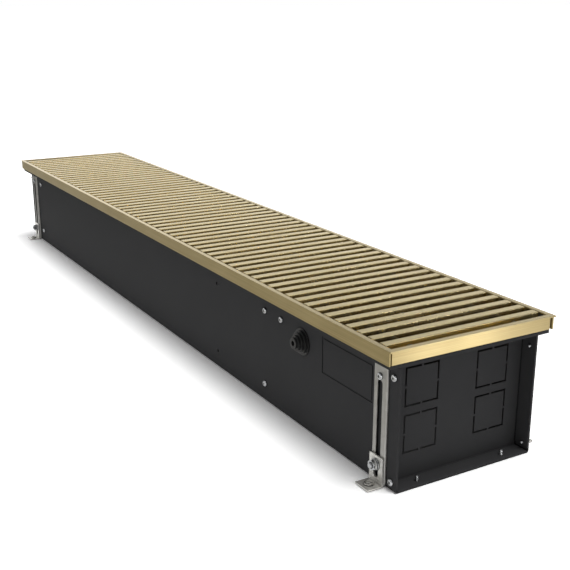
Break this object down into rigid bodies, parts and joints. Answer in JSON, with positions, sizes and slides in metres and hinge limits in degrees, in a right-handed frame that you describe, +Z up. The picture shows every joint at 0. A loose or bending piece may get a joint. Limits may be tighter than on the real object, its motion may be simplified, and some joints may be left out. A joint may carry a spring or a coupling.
{
  "type": "trench convector heater",
  "caption": "Fan-assisted trench convector heater: sheet-steel floor trough with finned heat exchanger, cross-flow fan, adjustable feet and lift-out bar grille in an anodised frame.",
  "frame": {"origin": "middle of the trough's underside, on the floor that the feet and the trough stand on", "axes": "+X along the trough towards the pipe and cable end, -Y towards the room side that has the cable entry, +Z up"},
  "size_m": [1.6, 0.287, 0.2],
  "materials": {
    "casing_black": "fine-texture powder coat",
    "frame_anodised": "brushed, anodised champagne",
    "bar_anodised": "brushed, anodised champagne",
    "zinc_steel": "bright zinc plate",
    "galvanised_steel": "satin galvanised sheet",
    "spring_steel": "bare",
    "shaft_steel": "ground",
    "bush_steel": "yellow-grey zinc plate",
    "rubber_black": "matt",
    "spacer_plastic": "moulded",
    "fin_aluminium": "mill finish",
    "wheel_aluminium": "mill finish",
    "copper": "drawn tube",
    "brass": "machined",
    "bronze": "sintered",
    "motor_paint": "satin",
    "grey_plastic": "moulded",
    "white_plastic": "moulded",
    "cable_sheath": "matt"
  },
  "bodies": {
    "casing": {"trough": "casing_black", "end_panel_near": "casing_black", "end_panel_far": "casing_black", "end_screws": "zinc_steel", "end_studs": "zinc_steel", "frame_front": "frame_anodised", "frame_back": "frame_anodised", "frame_near": "frame_anodised", "frame_far": "frame_anodised", "frame_corner_keys": "galvanised_steel", "frame_screws": "zinc_steel", "grille_seals": "rubber_black", "foot_rails": "galvanised_steel", "rail_screws": "zinc_steel", "cable_grommet": "rubber_black", "support_near": "casing_black", "support_far": "casing_black", "support_screws": "zinc_steel", "exchanger_fins": "fin_aluminium", "exchanger_tubes": "copper", "exchanger_bends": "copper", "pipe_sockets": "brass", "air_vent_body": "brass", "fan_housing": "galvanised_steel", "fan_saddles": "galvanised_steel", "air_divider": "galvanised_steel", "motor_can": "motor_paint", "motor_stator": "copper", "motor_bearings": "shaft_steel", "motor_mounts": "rubber_black", "bearing_bushes": "bronze", "bearing_seats": "rubber_black", "terminal_box": "grey_plastic", "terminal_lid": "grey_plastic", "terminal_block": "white_plastic", "terminal_screws": "zinc_steel", "motor_lead": "cable_sheath"},
    "grille": {"grille_bars": "bar_anodised", "grille_spacers": "spacer_plastic", "grille_springs": "spring_steel", "grille_clips": "spring_steel"},
    "fan_rotor": {"fan_wheel_near": "wheel_aluminium", "fan_wheel_far": "wheel_aluminium", "fan_shaft": "shaft_steel", "motor_rotor": "shaft_steel"},
    "vent_screw": {"air_vent_screw": "zinc_steel"},
    "foot_near_front": {"foot_bracket_near_front": "zinc_steel", "foot_clamp_near_front": "zinc_steel", "foot_bush_near_front": "bush_steel"},
    "foot_near_back": {"foot_bracket_near_back": "zinc_steel", "foot_clamp_near_back": "zinc_steel", "foot_bush_near_back": "bush_steel"},
    "foot_far_front": {"foot_bracket_far_front": "zinc_steel", "foot_clamp_far_front": "zinc_steel", "foot_bush_far_front": "bush_steel"},
    "foot_far_back": {"foot_bracket_far_back": "zinc_steel", "foot_clamp_far_back": "zinc_steel", "foot_bush_far_back": "bush_steel"}
  },
  "joints": [
    {"name": "grille_lift", "type": "slide", "parent": "casing", "child": "grille", "axis": [0, 0, 1], "range_m": [0, 0.15]},
    {"name": "fan_spin", "type": "hinge", "parent": "casing", "child": "fan_rotor", "pos_m": [-0.1285, 0.058, 0.07], "axis": [1, 0, 0], "continuous": true},
    {"name": "vent_turn", "type": "hinge", "parent": "casing", "child": "vent_screw", "pos_m": [0.489, -0.0595, 0.1501], "axis": [0, 0, 1], "range_deg": [0, 180]},
    {"name": "foot_slide_near_front", "type": "slide", "parent": "casing", "child": "foot_near_front", "axis": [0, 0, 1], "range_m": [-0.014, 0.1]},
    {"name": "foot_slide_near_back", "type": "slide", "parent": "casing", "child": "foot_near_back", "axis": [0, 0, 1], "range_m": [-0.014, 0.1]},
    {"name": "foot_slide_far_front", "type": "slide", "parent": "casing", "child": "foot_far_front", "axis": [0, 0, 1], "range_m": [-0.014, 0.1]},
    {"name": "foot_slide_far_back", "type": "slide", "parent": "casing", "child": "foot_far_back", "axis": [0, 0, 1], "range_m": [-0.014, 0.1]}
  ]
}
